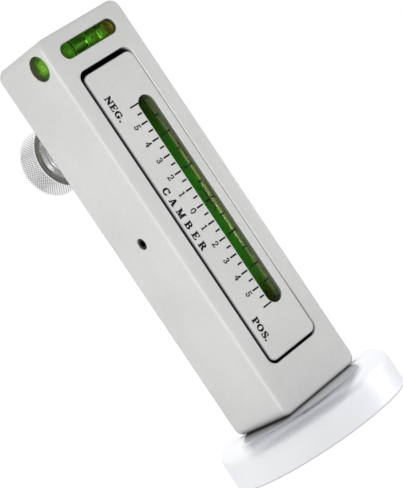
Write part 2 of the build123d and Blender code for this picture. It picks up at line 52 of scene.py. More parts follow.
def middle(name):
    """Middle of a CAD node's box, in millimetres."""
    low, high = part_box(name)
    return [(a + b) / 2 / MM for a, b in zip(low, high)]


# Places taken from the CAD part's boxes
CARRIER_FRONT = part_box("scale_carrier")[0].y / MM
BLOCK_LOW, BLOCK_HIGH = [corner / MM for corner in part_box("housing")]
ZERO_Z = middle("pivot_pin")[2]
WINDOW_X, CAMBER_AXIS_Y, _ = middle("camber_vial_tube")
LEVEL_MIDDLE_X, LEVEL_AXIS_Y, LEVEL_AXIS_Z = middle("level_vial_liquid")
KNOB_AXIS_X, _, KNOB_AXIS_Z = middle("adjuster_knob")
KNOB_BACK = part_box("adjuster_knob")[1].y / MM
CAMBER_CENTRE = (WINDOW_X, CAMBER_AXIS_Y, ZERO_Z)
LEVEL_CENTRE = (LEVEL_MIDDLE_X, LEVEL_AXIS_Y, LEVEL_AXIS_Z)
KNOB_CENTRE = (KNOB_AXIS_X, 0, KNOB_AXIS_Z)

# Sizes of the CAD part that its boxes don't give
DEGREE = 5.92  # bubble travel for one degree
POCKET_LOW, POCKET_HIGH = 27.4, 130.8
POCKET_MIDDLE = (POCKET_LOW + POCKET_HIGH) / 2
POCKET_HALF = (POCKET_HIGH - POCKET_LOW) / 2
POCKET_SIDE = 11.15  # from the middle to each side wall
CARRIER_SIDE = 10.6  # from the middle to each side
WINDOW_SIDE, WINDOW_END = 3.1, 36.8
SLOT_SIDE = 11.5
LEVEL_BORE, CAMBER_BORE = 4.0, 4.35  # radii
MAGNET_HEIGHT = 13.0
KNOB_LENGTH = 10.0
RIM = 11.1  # outer radius of the knob

# The knurl and the dish of the knob's face
KNURLS = 83  # diamonds round the rim
KNURL_ROWS = 15
KNURL_DEPTH = 0.24
KNURL_START, KNURL_LENGTH = 0.1, 9.7  # along the rim, from its front face backwards
RIM_ROUND = 0.06  # the rim's two ends are this much smaller in radius
DISH = 9.0  # radius of the dish

# Axes for from_axis: 0 along the axis and 1 across it
ALONG_X = (0, 1, 1)
ALONG_Y = (1, 0, 1)
ALONG_Z = (1, 1, 0)


def greys(*stops):
    """Stops of a grey colour ramp, from pairs of place and share."""
    return [(where, (share, share, share)) for where, share in stops]


# Colours
PAINT_DARK = (0.585, 0.583, 0.575)
PAINT_LIGHT = (0.650, 0.648, 0.642)
PAINT_END_SHADE = greys((0.10, 0.965), (0.33, 1), (0.70, 1), (0.97, 0.90))  # painted shade by height, darker towards the foot and the top
PAINT_TOP = 150.0  # where that ramp ends
EDGE_HIGHLIGHT_TONE = (0.685, 0.683, 0.677)  # painted highlight along the block's front left edge
EDGE_HIGHLIGHT_SUM = 0.80  # on it x + y is this close to that of the block's corner
RIM_HIGHLIGHT_TONE = (0.95, 0.95, 0.94)  # painted highlight along the pocket's right edge
RIM_HIGHLIGHT_FADE = (40.0, 56.0)  # it comes up between these heights
# painted shade, nearly black, in the pocket and along the carrier's left side and rims
POCKET_SHADE_TONE = (0.012, 0.012, 0.012)
CARRIER_SHADE_LIMIT = -8.0  # the carrier gets painted shade to the left of this
# painted shade on the window's walls
WINDOW_SHADE_TONE = (0.16, 0.16, 0.12)
# painted shade in the slot of the cross level
SLOT_SHADE_TONE = (0.045, 0.042, 0.025)
SLOT_SHADE_HALF = 3.3  # half the height of the slot's painted shade, with its rounded edges
LEVEL_BORE_END = 13.0
# painted shade and painted green light on the bare wall of the cross level's bore
LEVEL_BORE_LIGHT_AND_SHADE = [  # from the left side to that end
    (0.0, (0.10, 0.09, 0.07)), (0.06, (0.13, 0.12, 0.09)), (0.12, (0.45, 0.55, 0.10)),
    (0.30, (0.30, 0.42, 0.08)), (0.40, (0.55, 0.62, 0.10)), (0.50, (0.60, 0.72, 0.12)),
    (0.56, (0.22, 0.30, 0.06)), (0.68, (0.18, 0.22, 0.05)), (0.80, (0.32, 0.32, 0.05)),
    (0.90, (0.45, 0.40, 0.04)),
]
CAMBER_BORE_SPAN = (36.0, 121.0)
# bare wall of the long vial's bore with painted shade, dark green towards both ends
CAMBER_BORE_TONE_AND_SHADE = [  # from below upwards
    (0.06, (0.02, 0.05, 0.01)), (0.12, (0.05, 0.13, 0.03)), (0.19, (0.50, 0.54, 0.36)),
    (0.45, (0.62, 0.64, 0.50)), (0.62, (0.60, 0.62, 0.48)), (0.78, (0.34, 0.36, 0.22)),
    (0.90, (0.12, 0.16, 0.06)), (0.97, (0.03, 0.09, 0.015)),
]
CUP_PAINTED_REFLECTION = [  # painted reflection of the block, from the disc's lower edge to its top
    (0.42, (1, 1, 1)), (0.60, (0.97, 0.97, 0.97)), (0.77, (0.84, 0.85, 0.86)),
    (0.88, (0.60, 0.61, 0.63)), (0.95, (0.44, 0.45, 0.47)), (0.98, (0.44, 0.45, 0.46)),
    (1.0, (0.68, 0.70, 0.72)),
]
CONTACT_SHADOW_WIDTH = 4.0
PAINTED_CONTACT_SHADOW = greys((0.0, 0.03), (0.05, 0.10), (0.10, 0.85), (1.0, 1))  # painted shadow, by distance off the foot
# painted shade along the disc's lower edge
LOW_EDGE_SHADE_TONE = (0.50, 0.50, 0.51)
# painted dark reflection on the knob's face
KNOB_FACE_REFLECTION_TONE = (0.47, 0.46, 0.45)
# painted shade in the knurl's valleys
KNURL_SHADE_TONE = (0.05, 0.05, 0.05)
STRIP_REFLECTION_SPAN = (40.0, 120.0)  # heights of the painted reflection on the long tube
STRIP_REFLECTION_SHARES = greys((0.0, 0.10), (0.25, 0.30), (0.45, 0.55), (0.62, 0.60), (0.85, 0.12))
STOPPER_RINGS = [  # from the axis outwards
    (0.0, (0.11, 0.36, 0.008)), (0.22, (0.26, 0.52, 0.02)), (0.38, (0.07, 0.26, 0.005)),
    (0.52, (0.14, 0.40, 0.01)), (0.68, (0.06, 0.20, 0.004)), (0.85, (0.012, 0.05, 0.003)),
]

# The block's painted dim reflection on the disc lies along one direction and reaches out in the
# other.
IMAGE_ALONG = (0.784, -0.620, 0)
IMAGE_OUT = (-0.620, -0.784, 0)
IMAGE_RIGHT = 20.3  # its right end at the disc's top,
IMAGE_LEAN = 2.4  # which moves left by this much for each mm down
IMAGE_LEFT = (-22.0, -18.5)  # it comes up here along its length,
IMAGE_FRONT = (3.0, 6.0)  # and here outwards
FOOT_CORNER = 1.5  # round of the painted shadow line at the foot's corners

PLASTIC_IOR = 1.49
LIQUID_IOR = 0.92  # of the liquid over that of the tube
AIR_IOR = 0.88  # of the bubble over that of the liquid


# Small helpers for shader nodes


def new_material(name):
    """A material with an empty node tree and its output."""
    material = bpy.data.materials.new(name)
    material.use_nodes = True
    tree = material.node_tree
    tree.nodes.clear()
    return material, tree, tree.nodes.new("ShaderNodeOutputMaterial")


def node(tree, kind, inputs=None, **settings):
    """A shader node. An input is given as another node's socket, which is linked, or as a value."""
    made = tree.nodes.new("ShaderNode" + kind)
    for name, value in settings.items():
        setattr(made, name, value)
    for key, value in (inputs or {}).items():
        if isinstance(value, bpy.types.NodeSocket):
            tree.links.new(value, made.inputs[key])
        else:
            made.inputs[key].default_value = value
    return made


def surfaced(tree, output, kind, inputs):
    """Puts a shader on the surface of an output."""
    tree.links.new(node(tree, kind, inputs).outputs[0], output.inputs["Surface"])


def place(tree):
    """Object coordinates, which are the frame's own metres for every CAD node."""
    return node(tree, "TexCoord").outputs["Object"]


def noise(tree, coords, per_metre, detail=2.0, roughness=0.5):
    values = {"Vector": coords, "Scale": per_metre, "Detail": detail, "Roughness": roughness}
    return node(tree, "TexNoise", values).outputs["Fac"]


def ramp(tree, factor, stops):
    """A colour ramp with (place, colour) stops."""
    made = node(tree, "ValToRGB", {"Fac": factor})
    elements = made.color_ramp.elements
    while len(elements) < len(stops):
        elements.new(1.0)
    for element, (where, colour) in zip(elements, stops):
        element.position = where
        element.color = (*colour, 1)
    return made.outputs["Color"]


def spread(tree, factor, low, high, start=0.3, end=0.7):
    """The factor's span from start to end, mapped to low and high."""
    values = {"Value": factor, "From Min": start, "From Max": end, "To Min": low, "To Max": high}
    return node(tree, "MapRange", values).outputs["Result"]


def maths(tree, operation, first, second=0.0):
    return node(tree, "Math", {0: first, 1: second}, operation=operation).outputs["Value"]


def times(tree, *factors):
    made = factors[0]
    for factor in factors[1:]:
        made = maths(tree, "MULTIPLY", made, factor)
    return made


def mix_colours(tree, factor, first, second):
    return node(tree, "Mix", {0: factor, 6: first, 7: second}, data_type="RGBA").outputs[2]


def toned(tree, share, colour, tone):
    """The colour with a fixed tone over a share of it."""
    return mix_colours(tree, share, colour, (*tone, 1))


def multiplied(tree, first, second):
    values = {0: 1.0, 6: first, 7: second}
    return node(tree, "Mix", values, data_type="RGBA", blend_type="MULTIPLY").outputs[2]


def bump(tree, height, strength, distance):
    values = {"Height": height, "Strength": strength, "Distance": distance}
    return node(tree, "Bump", values).outputs["Normal"]


def dotted(tree, vector, direction):
    values = {0: vector, 1: direction}
    return node(tree, "VectorMath", values, operation="DOT_PRODUCT").outputs["Value"]


def length_of(tree, vector):
    return node(tree, "VectorMath", {0: vector}, operation="LENGTH").outputs["Value"]


def from_axis(tree, coords, centre, across):
    """Distance of a point from the line through centre, along one of the axes above."""
    values = {0: coords, 1: [c * MM for c in centre]}
    offset = node(tree, "VectorMath", values, operation="SUBTRACT").outputs[0]
    flat = node(tree, "VectorMath", {0: offset, 1: across}, operation="MULTIPLY")
    return length_of(tree, flat.outputs[0])


def axis_part(tree, coords, axis):
    return node(tree, "SeparateXYZ", {0: coords}).outputs[axis]


def over(tree, value, start, end, low=0.0, high=1.0):
    """low where the value in metres is under start, and high where it is over end."""
    return spread(tree, value, low, high, start * MM, end * MM)


def rise(tree, coords, axis, start, end, low=0.0, high=1.0):
    """low before the place start along an axis, and high past the place end."""
    return over(tree, axis_part(tree, coords, axis), start, end, low, high)


def below(tree, value, limit, soft=0.05):
    """1 where the value in metres is under the limit, with a soft step."""
    return over(tree, value, limit - soft, limit + soft, 1.0, 0.0)


def off(tree, coords, axis, middle_place):
    """Distance in metres from a middle place along one axis."""
    along = maths(tree, "SUBTRACT", axis_part(tree, coords, axis), middle_place * MM)
    return maths(tree, "ABSOLUTE", along)


# Materials


def painted(name, tones):
    """Satin light grey paint with a fine orange peel, with painted shade that makes it a little
    darker towards the block's ends. tones(tree, coords, colour) gives the colour with its bare
    places and its painted shade and highlights."""
    material, tree, output = new_material(name)
    coords = place(tree)
    cloud = noise(tree, coords, 45, 3)
    grain = noise(tree, coords, 1300, 3, 0.6)
    tone = maths(
        tree, "ADD", maths(tree, "MULTIPLY", cloud, 0.55), maths(tree, "MULTIPLY", grain, 0.45)
    )
    colour = ramp(tree, tone, [(0.36, PAINT_DARK), (0.64, PAINT_LIGHT)])
    # painted shade: a little darker towards the block's foot and top
    end_shade = ramp(tree, rise(tree, coords, "Z", 0.0, PAINT_TOP), PAINT_END_SHADE)
    colour = tones(tree, coords, multiplied(tree, colour, end_shade))
    speck = noise(tree, coords, 4200, 2)
    height = maths(tree, "ADD", grain, maths(tree, "MULTIPLY", speck, 0.35))
    surfaced(tree, output, "BsdfPrincipled", {
        "Base Color": colour,
        "Roughness": spread(tree, cloud, 0.40, 0.50),
        "Specular IOR Level": 0.42,
        "Coat Weight": 0.5,
        "Coat Roughness": 0.12,
        "Normal": bump(tree, height, 0.22, 0.00003),
    })
    return material


def block_tones(tree, coords, colour):
    """The pocket and the slot get painted shade that deepens with depth, the pocket's left rim gets
    painted shade and its right rim a painted highlight, a painted highlight runs along the front
    left edge, and the bore of the cross level is bare, with painted shade and painted green light
    on it. The tones end before the block's back and its right side, which stay plain."""
    before_back = below(tree, axis_part(tree, coords, "Y"), BLOCK_HIGH.y - 2.0)
    before_right = below(tree, axis_part(tree, coords, "X"), BLOCK_HIGH.x - 3.0)
    # painted shade: the pocket darkens with depth
    inside = times(
        tree,
        before_back,
        below(tree, off(tree, coords, "X", 0.0), POCKET_SIDE + 0.1),
        below(tree, off(tree, coords, "Z", POCKET_MIDDLE), POCKET_HALF + 0.1),
        rise(tree, coords, "Y", BLOCK_LOW.y + 0.4, BLOCK_LOW.y + 1.6),
    )
    colour = toned(tree, inside, colour, POCKET_SHADE_TONE)
    # painted shade along the pocket's left rim
    left_rim_shade = times(
        tree,
        before_back,
        rise(tree, coords, "X", -POCKET_SIDE - 0.35, -POCKET_SIDE, 0.0, 0.8),
        below(tree, axis_part(tree, coords, "X"), -POCKET_SIDE + 0.15),
        below(tree, off(tree, coords, "Z", POCKET_MIDDLE), POCKET_HALF - 1.5, 1.5),
    )
    colour = toned(tree, left_rim_shade, colour, POCKET_SHADE_TONE)
    # painted highlight along the pocket's right rim
    right_rim_highlight = times(
        tree,
        before_back,
        rise(tree, coords, "X", POCKET_SIDE - 0.3, POCKET_SIDE - 0.1),
        below(tree, axis_part(tree, coords, "X"), POCKET_SIDE + 0.35),
        rise(tree, coords, "Z", *RIM_HIGHLIGHT_FADE),
        below(tree, axis_part(tree, coords, "Z"), POCKET_HIGH - 2.5, 1.0),
    )
    colour = toned(tree, right_rim_highlight, colour, RIM_HIGHLIGHT_TONE)
    # painted highlight along the block's front left edge
    corner_sum = maths(tree, "ADD", axis_part(tree, coords, "X"), axis_part(tree, coords, "Y"))
    edge_highlight = below(tree, corner_sum, BLOCK_LOW.x + BLOCK_LOW.y + EDGE_HIGHLIGHT_SUM, 0.02)
    colour = toned(tree, edge_highlight, colour, EDGE_HIGHLIGHT_TONE)
    # painted shade: the slot darkens with depth
    slot = times(
        tree,
        before_back,
        below(tree, off(tree, coords, "X", 0.0), SLOT_SIDE + 0.1),
        below(tree, off(tree, coords, "Z", LEVEL_AXIS_Z), SLOT_SHADE_HALF),
        rise(tree, coords, "Y", BLOCK_LOW.y + 0.05, BLOCK_LOW.y + 0.35),
    )
    colour = toned(tree, slot, colour, SLOT_SHADE_TONE)
    # bare bore wall of the cross level, with painted shade and painted green light
    wall = from_axis(tree, coords, LEVEL_CENTRE, ALONG_X)
    bore = times(tree, before_right, below(tree, wall, LEVEL_BORE + 0.05, 0.01))
    bore_tone = ramp(tree, rise(tree, coords, "X", BLOCK_LOW.x, LEVEL_BORE_END), LEVEL_BORE_LIGHT_AND_SHADE)
    return mix_colours(tree, bore, colour, bore_tone)


def carrier_tones(tree, coords, colour):
    """The left side gets painted shade that deepens with depth and at its rim, the window's walls
    get painted shade, and the bore of the long vial is bare, with painted shade towards its ends."""
    # painted shade: the carrier's left side darkens with depth
    deep_shade = times(
        tree,
        rise(tree, coords, "Y", CARRIER_FRONT + 0.1, CARRIER_FRONT + 0.85),
        below(tree, axis_part(tree, coords, "X"), CARRIER_SHADE_LIMIT),
    )
    colour = toned(tree, deep_shade, colour, POCKET_SHADE_TONE)
    # painted shade along the carrier's left rim
    left_rim_shade = rise(tree, coords, "X", -CARRIER_SIDE, -CARRIER_SIDE + 0.45, 0.75, 0.0)
    colour = toned(tree, left_rim_shade, colour, POCKET_SHADE_TONE)
    # painted shade on the window's walls
    window_shade = times(
        tree,
        below(tree, off(tree, coords, "X", WINDOW_X), WINDOW_SIDE + 0.03, 0.02),
        below(tree, off(tree, coords, "Z", ZERO_Z), WINDOW_END + 0.1),
        rise(tree, coords, "Y", CARRIER_FRONT + 0.05, CARRIER_FRONT + 0.5),
    )
    colour = toned(tree, window_shade, colour, WINDOW_SHADE_TONE)
    # bare bore wall of the long vial, with painted shade towards its ends
    wall = from_axis(tree, coords, CAMBER_CENTRE, ALONG_Z)
    bore = below(tree, wall, CAMBER_BORE + 0.05, 0.01)
    bore_tone = ramp(tree, rise(tree, coords, "Z", *CAMBER_BORE_SPAN), CAMBER_BORE_TONE_AND_SHADE)
    return mix_colours(tree, bore, colour, bore_tone)


def metal(name, dark, light, rough):
    """Metal with clouds of tone and a fine grain in its roughness."""
    material, tree, output = new_material(name)
    coords = place(tree)
    cloud = noise(tree, coords, 260, 4, 0.6)
    fine = noise(tree, coords, 3200, 3)
    surfaced(tree, output, "BsdfPrincipled", {
        "Base Color": ramp(tree, cloud, [(0.32, dark), (0.68, light)]),
        "Metallic": 1.0,
        "Roughness": spread(tree, fine, *rough),
        "Normal": bump(tree, fine, 0.1, 0.00002),
    })
    return material


def plated_metal(name, left, right):
    """Bright plate that is a little bluer to the right. A painted dim reflection of the block lies
    in front of the foot and softly down its shoulder, a painted shadow line runs where the foot
    meets it, and painted shade runs along its lower edge."""
    material, tree, output = new_material(name)
    coords = place(tree)
    cloud = noise(tree, coords, 120, 3, 0.6)
    aside = maths(tree, "ADD", axis_part(tree, coords, "X"), maths(tree, "MULTIPLY", cloud, 0.012))
    colour = mix_colours(tree, over(tree, aside, -20.0, 30.0), (*left, 1), (*right, 1))
    height = axis_part(tree, coords, "Z")
    along = dotted(tree, coords, IMAGE_ALONG)
    drop = maths(tree, "SUBTRACT", MAGNET_HEIGHT * MM, height)
    right_side = maths(tree, "ADD", along, maths(tree, "MULTIPLY", drop, IMAGE_LEAN))
    # painted dim reflection of the block in front of the foot and down the shoulder
    before = times(
        tree,
        below(tree, right_side, IMAGE_RIGHT, 1.8),
        over(tree, along, *IMAGE_LEFT),
        over(tree, dotted(tree, coords, IMAGE_OUT), *IMAGE_FRONT),
    )
    depth = ramp(tree, over(tree, height, 0.0, MAGNET_HEIGHT), CUP_PAINTED_REFLECTION)
    painted_reflection = mix_colours(tree, before, (1, 1, 1, 1), depth)
    # painted shadow line where the foot stands on the disc
    beyond = []
    for axis, half in (("X", BLOCK_HIGH.x), ("Y", BLOCK_HIGH.y)):
        past = maths(tree, "SUBTRACT", off(tree, coords, axis, 0.0), (half - FOOT_CORNER) * MM)
        beyond.append(maths(tree, "MAXIMUM", past, 0.0))
    away = length_of(tree, node(tree, "CombineXYZ", dict(enumerate(beyond))).outputs[0])
    away = maths(tree, "SUBTRACT", away, FOOT_CORNER * MM)
    contact_shadow = ramp(tree, over(tree, away, 0.0, CONTACT_SHADOW_WIDTH), PAINTED_CONTACT_SHADOW)
    for layer in (painted_reflection, contact_shadow):
        colour = multiplied(tree, colour, layer)
    # painted shade along the disc's lower edge, where it stands on the floor
    colour = toned(tree, over(tree, height, 0.1, 0.5, 1.0, 0.0), colour, LOW_EDGE_SHADE_TONE)
    fine = noise(tree, coords, 2600, 3)
    surfaced(tree, output, "BsdfPrincipled", {
        "Base Color": colour,
        "Metallic": 1.0,
        "Roughness": maths(
            tree, "ADD", spread(tree, cloud, 0.0, 0.08), over(tree, height, 10.0, 12.9, 0.36, 0.14)
        ),
        "Normal": bump(tree, fine, 0.06, 0.00001),
    })
    return material


def dull(name, dark, light, rough, grain=1800, strength=0.3):
    """Plastic, resin or ferrite with a fine grain."""
    material, tree, output = new_material(name)
    coords = place(tree)
    cloud = noise(tree, coords, grain / 6, 3)
    fine = noise(tree, coords, grain, 3, 0.6)
    surfaced(tree, output, "BsdfPrincipled", {
        "Base Color": ramp(tree, cloud, [(0.35, dark), (0.65, light)]),
        "Roughness": spread(tree, fine, *rough),
        "Normal": bump(tree, fine, strength, 0.00004),
    })
    return material


def stained(tree, surface, share, pattern, colour, dip):
    """The surface with a matt layer over a share of it, used for a dye and for a painted
    reflection, and its colour times dip in spots.
    """
    tones = [(0.35, colour), (0.65, [c * dip for c in colour])]
    matt_layer = node(tree, "BsdfDiffuse", {"Color": ramp(tree, pattern, tones)}).outputs[0]
    return node(tree, "MixShader", {0: share, 1: surface, 2: matt_layer}).outputs[0]


def clear(name, gloss, chamber, strip=None, end=None, tint=None):
    """Polished clear plastic. Its chamber wall lets light straight through, because the liquid's
    own skin bends it there. chamber: centre, what is across its axis, radius, axis, half length.
    strip, a painted reflection as a matt band along an upright tube: radius, first and last angle
    in degrees from the front to the right, colour, shares by height. end, a dyed left end: where it
    stops, colour. tint: middle height, how far above and below it the tint starts and is full,
    colour."""
    material, tree, output = new_material(name)
    coords = place(tree)
    ripple = noise(tree, coords, 500, 2)
    body_colour = (1, 1, 1, 1)
    if tint:
        height, start, full, colour = tint
        share = over(tree, off(tree, coords, "Z", height), start, full)
        body_colour = toned(tree, share, body_colour, colour)
    shader = node(tree, "BsdfPrincipled", {
        "Base Color": body_colour,
        "Roughness": spread(tree, ripple, 0.03, 0.04),
        "IOR": PLASTIC_IOR,
        "Specular Tint": (*gloss, 1),
        "Transmission Weight": 1.0,
        "Normal": bump(tree, ripple, 0.01, 0.000001),
    })
    centre, across, radius, axis, half = chamber
    distance = from_axis(tree, coords, centre, across)
    near = maths(tree, "LESS_THAN", distance, radius * MM)
    aside = off(tree, coords, axis, centre["XYZ".index(axis)])
    inside = maths(tree, "MULTIPLY", near, maths(tree, "LESS_THAN", aside, half * MM))
    open_wall = node(tree, "BsdfTransparent").outputs[0]
    surface = node(tree, "MixShader", {0: inside, 1: shader.outputs[0], 2: open_wall}).outputs[0]
    # the strip is a painted reflection, a matt band on the tube
    if strip:
        radius, first, last, colour, shares = strip
        right = maths(tree, "SUBTRACT", axis_part(tree, coords, "X"), centre[0] * MM)
        front = maths(tree, "SUBTRACT", centre[1] * MM, axis_part(tree, coords, "Y"))
        angle = maths(tree, "ARCTAN2", right, front)
        first, last, soft = (math.radians(degrees) for degrees in (first, last, 2.5))
        inside = times(
            tree,
            ramp(tree, rise(tree, coords, "Z", *STRIP_REFLECTION_SPAN), shares),
            maths(tree, "GREATER_THAN", distance, radius * MM),
            spread(tree, angle, 0.0, 1.0, first - soft, first + soft),
            spread(tree, angle, 1.0, 0.0, last - soft, last + soft),
        )
        surface = stained(tree, surface, inside, ripple, colour, 0.8)
    if end:
        limit, colour = end
        dyed = rise(tree, coords, "X", limit - 0.2, limit, 0.72, 0.0)
        surface = stained(tree, surface, dyed, ripple, colour, 0.6)
    tree.links.new(surface, output.inputs["Surface"])
    return material


def lens_end(name, rings):
    """Glossy translucent green end of the cross vial, with rings of tone about its axis."""
    material, tree, output = new_material(name)
    coords = place(tree)
    cloud = noise(tree, coords, 420, 3)
    radius = from_axis(tree, coords, LEVEL_CENTRE, ALONG_X)
    wavy = maths(tree, "ADD", radius, spread(tree, cloud, -0.7 * MM, 0.7 * MM))
    surfaced(tree, output, "BsdfPrincipled", {
        "Base Color": ramp(tree, over(tree, wavy, 0.0, 3.5), rings),
        "Roughness": spread(tree, cloud, 0.04, 0.12),
        "Specular Tint": (0.35, 0.40, 0.06, 1),
        "Transmission Weight": 0.2,
        "Normal": bump(tree, cloud, 0.5, 0.0005),
    })
    return material


def wet(name, ior, absorb=None, density=0.0):
    """Skin of a liquid or of a bubble in it. ior is that of its inside over that of its outside."""
    material, tree, output = new_material(name)
    ripple = noise(tree, place(tree), 400, 2)
    surfaced(tree, output, "BsdfGlass", {
        "Color": (1, 1, 1, 1),
        "Roughness": spread(tree, ripple, 0.01, 0.02),
        "IOR": ior,
        "Normal": bump(tree, ripple, 0.01, 0.000001),
    })
    if absorb:
        fog = node(tree, "VolumeAbsorption", {"Color": (*absorb, 1), "Density": density})
        tree.links.new(fog.outputs[0], output.inputs["Volume"])
    return material


def ink(name, dark, light):
    """Black screen print, a little uneven."""
    material, tree, output = new_material(name)
    fine = noise(tree, place(tree), 5200, 2)
    surfaced(tree, output, "BsdfPrincipled", {
        "Base Color": ramp(tree, fine, [(0.3, dark), (0.75, light)]),
        "Roughness": spread(tree, fine, 0.4, 0.65),
        "Specular IOR Level": 0.12,
        "Normal": bump(tree, fine, 0.2, 0.00001),
    })
    return material


def knob_metal(name, dark, light):
    """Chrome with turned rings. The rim's face and the dish's outer part get a painted dark
    reflection, and the valleys of the knurl get nearly black painted shade."""
    material, tree, output = new_material(name)
    coords = place(tree)
    radius = from_axis(tree, coords, KNOB_CENTRE, ALONG_Y)
    rings = noise(tree, node(tree, "CombineXYZ", {0: radius}).outputs[0], 5200, 3, 0.7)
    colour = ramp(tree, noise(tree, coords, 400, 3), [(0.3, dark), (0.7, light)])
    face = KNOB_BACK - KNOB_LENGTH + 0.1
    # painted dark reflection on the rim's face and the dish's outer part
    flat = times(
        tree,
        over(tree, radius, DISH - 0.02, DISH + 0.06),
        rise(tree, coords, "Y", face, face + 0.1, 1.0, 0.0),
    )
    dish_reflection = times(
        tree,
        over(tree, radius, DISH - 0.7, DISH - 0.6),
        below(tree, radius, DISH + 0.1),
        rise(tree, coords, "Y", face + 1.1, face + 1.2, 1.0, 0.0),
    )
    colour = toned(tree, maths(tree, "MAXIMUM", flat, dish_reflection), colour, KNOB_FACE_REFLECTION_TONE)
    # painted shade, nearly black, in the knurl's valleys
    knurl_shade = times(
        tree,
        over(tree, radius, RIM - 0.40, RIM - 0.35),
        over(tree, radius, RIM - 0.96 * KNURL_DEPTH, RIM - 0.74 * KNURL_DEPTH, 1.0, 0.0),
        rise(tree, coords, "Y", face + 0.1, face + 0.2),
    )
    colour = toned(tree, knurl_shade, colour, KNURL_SHADE_TONE)
    surfaced(tree, output, "BsdfPrincipled", {
        "Base Color": colour,
        "Metallic": 1.0,
        "Roughness": spread(tree, rings, 0.16, 0.30),
        "Normal": bump(tree, rings, 0.25, 0.00002),
    })
    return material


paint = painted("light_grey_paint", block_tones)
carrier_paint = painted("carrier_paint", carrier_tones)
camber_glass = clear(
    "camber_tube", gloss=(0.30, 0.29, 0.05), chamber=(CAMBER_CENTRE, ALONG_Z, 3.72, "Z", 40.55),
    strip=(4.25, 12.0, 33.0, (0.40, 0.40, 0.12), STRIP_REFLECTION_SHARES),
    tint=(ZERO_Z, 14.0, 32.0, (0.60, 0.89, 0.52)),
)
level_glass = clear(
    "level_tube", gloss=(0.30, 0.30, 0.06), chamber=(LEVEL_CENTRE, ALONG_X, 3.05, "X", 7.95),
    end=(LEVEL_MIDDLE_X - 8.2, (0.07, 0.24, 0.012)),
)
stopper_green = lens_end("green_stopper", STOPPER_RINGS)
camber_green = wet("camber_liquid", LIQUID_IOR, (0.30, 0.972, 0.0), 430.0)
level_green = wet("level_liquid", LIQUID_IOR, (0.60, 0.955, 0.0), 420.0)
air = wet("air_bubble", AIR_IOR)
black_print = ink("black_print", (0.004, 0.004, 0.004), (0.012, 0.012, 0.012))
steel = metal("turned_steel", (0.45, 0.45, 0.45), (0.58, 0.58, 0.58), (0.25, 0.4))
black_steel = metal("black_steel", (0.03, 0.03, 0.032), (0.07, 0.07, 0.07), (0.35, 0.5))
brass = metal("turned_brass", (0.60, 0.44, 0.17), (0.74, 0.56, 0.26), (0.22, 0.36))
plated = plated_metal("plated_cup", (0.97, 0.975, 1.0), (0.94, 0.95, 0.99))
chrome = knob_metal("chrome_knob", (0.93, 0.93, 0.93), (0.98, 0.98, 0.99))
black_plastic = dull("black_plastic", (0.02, 0.02, 0.02), (0.045, 0.045, 0.045), (0.5, 0.7))
ferrite = dull("ferrite", (0.045, 0.045, 0.05), (0.10, 0.10, 0.105), (0.6, 0.8), 900, 0.5)
resin = dull("cast_resin", (0.05, 0.05, 0.05), (0.09, 0.09, 0.09), (0.25, 0.45), 500, 0.15)

FINISH = {
    "housing": paint,
    "scale_carrier": carrier_paint,
    "carrier_plug": black_plastic,
    "camber_vial_tube": camber_glass,
    "camber_vial_stopper": brass,
    "camber_vial_bubble": air,
    "level_vial_tube": level_glass,
    "level_vial_stopper": stopper_green,
    "level_vial_bubble": air,
    "pivot_pin": steel,
    "pivot_set_screw": black_steel,
    "adjuster_screw": steel,
    "thrust_pad": brass,
    "screw_bushing": brass,
    "return_spring": steel,
    "magnet_cup": plated,
    "ring_magnet": ferrite,
    "outer_resin_ring": resin,
    "inner_resin_ring": resin,
    "magnet_screw": black_steel,
    "lock_washer": steel,
}
for name, material in FINISH.items():
    nodes[name].data.materials.clear()
    nodes[name].data.materials.append(material)


# Meshes


MERGE = 0.0005  # points closer than this become one,
PRINT_MERGE = 0.0002  # and this in the print
SHARP = 35  # degrees between faces from which a smooth mesh keeps an edge
SEGMENTS = 96  # steps round a turned fill
BARREL_ROWS = 24
SKIN_GAP = 0.01  # a fill stays this far inside its chamber's wall


def riding(name, data, merge, material, body):
    """An object of a mesh, with near points merged and faces turned outwards, riding on a body."""
    build = bmesh.new()
    build.from_mesh(data)
    bmesh.ops.remove_doubles(build, verts=build.verts, dist=merge)
    bmesh.ops.recalc_face_normals(build, faces=build.faces)
    build.to_mesh(data)
    build.free()
    data.materials.clear()
    data.materials.append(material)
    made = bpy.data.objects.new(name, data)
    bpy.context.scene.collection.objects.link(made)
    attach(made, body)
    return made


def mesh_object(name, points, faces, material, body, slot, flat=True):
    """A mesh from points in millimetres, riding on a body."""
    data = bpy.data.meshes.new(name)
    data.from_pydata([[c * MM for c in p] for p in points], [], faces)
    made = riding(name, data, MERGE * MM, material, body)
    if not flat:
        data.shade_smooth()
        data.set_sharp_from_angle(angle=math.radians(SHARP))
    return made


def bridge(first, second, count):
    """Quads between two rings of points, given by the number of each ring's first point."""
    faces = []
    for step in range(count):
        after = (step + 1) % count
        faces.append((first + step, first + after, second + after, second + step))
    return faces


def turned(profile, segments, put):
    """Points and quads of an outline of (radius, height) pairs turned about an axis.
    put(radius, angle, height) gives a point, and an end with radius 0 closes to one point."""
    points, faces = [], []
    for radius, height in profile:
        for step in range(segments):
            points.append(put(radius, 2 * math.pi * step / segments, height))
    for row in range(len(profile) - 1):
        faces += bridge(row * segments, (row + 1) * segments, segments)
    return points, faces


def joined(groups):
    """Points and faces of several groups in one."""
    points, faces = [], []
    for more_points, more_faces in groups:
        faces += [tuple(i + len(points) for i in f) for f in more_faces]
        points += more_points
    return points, faces


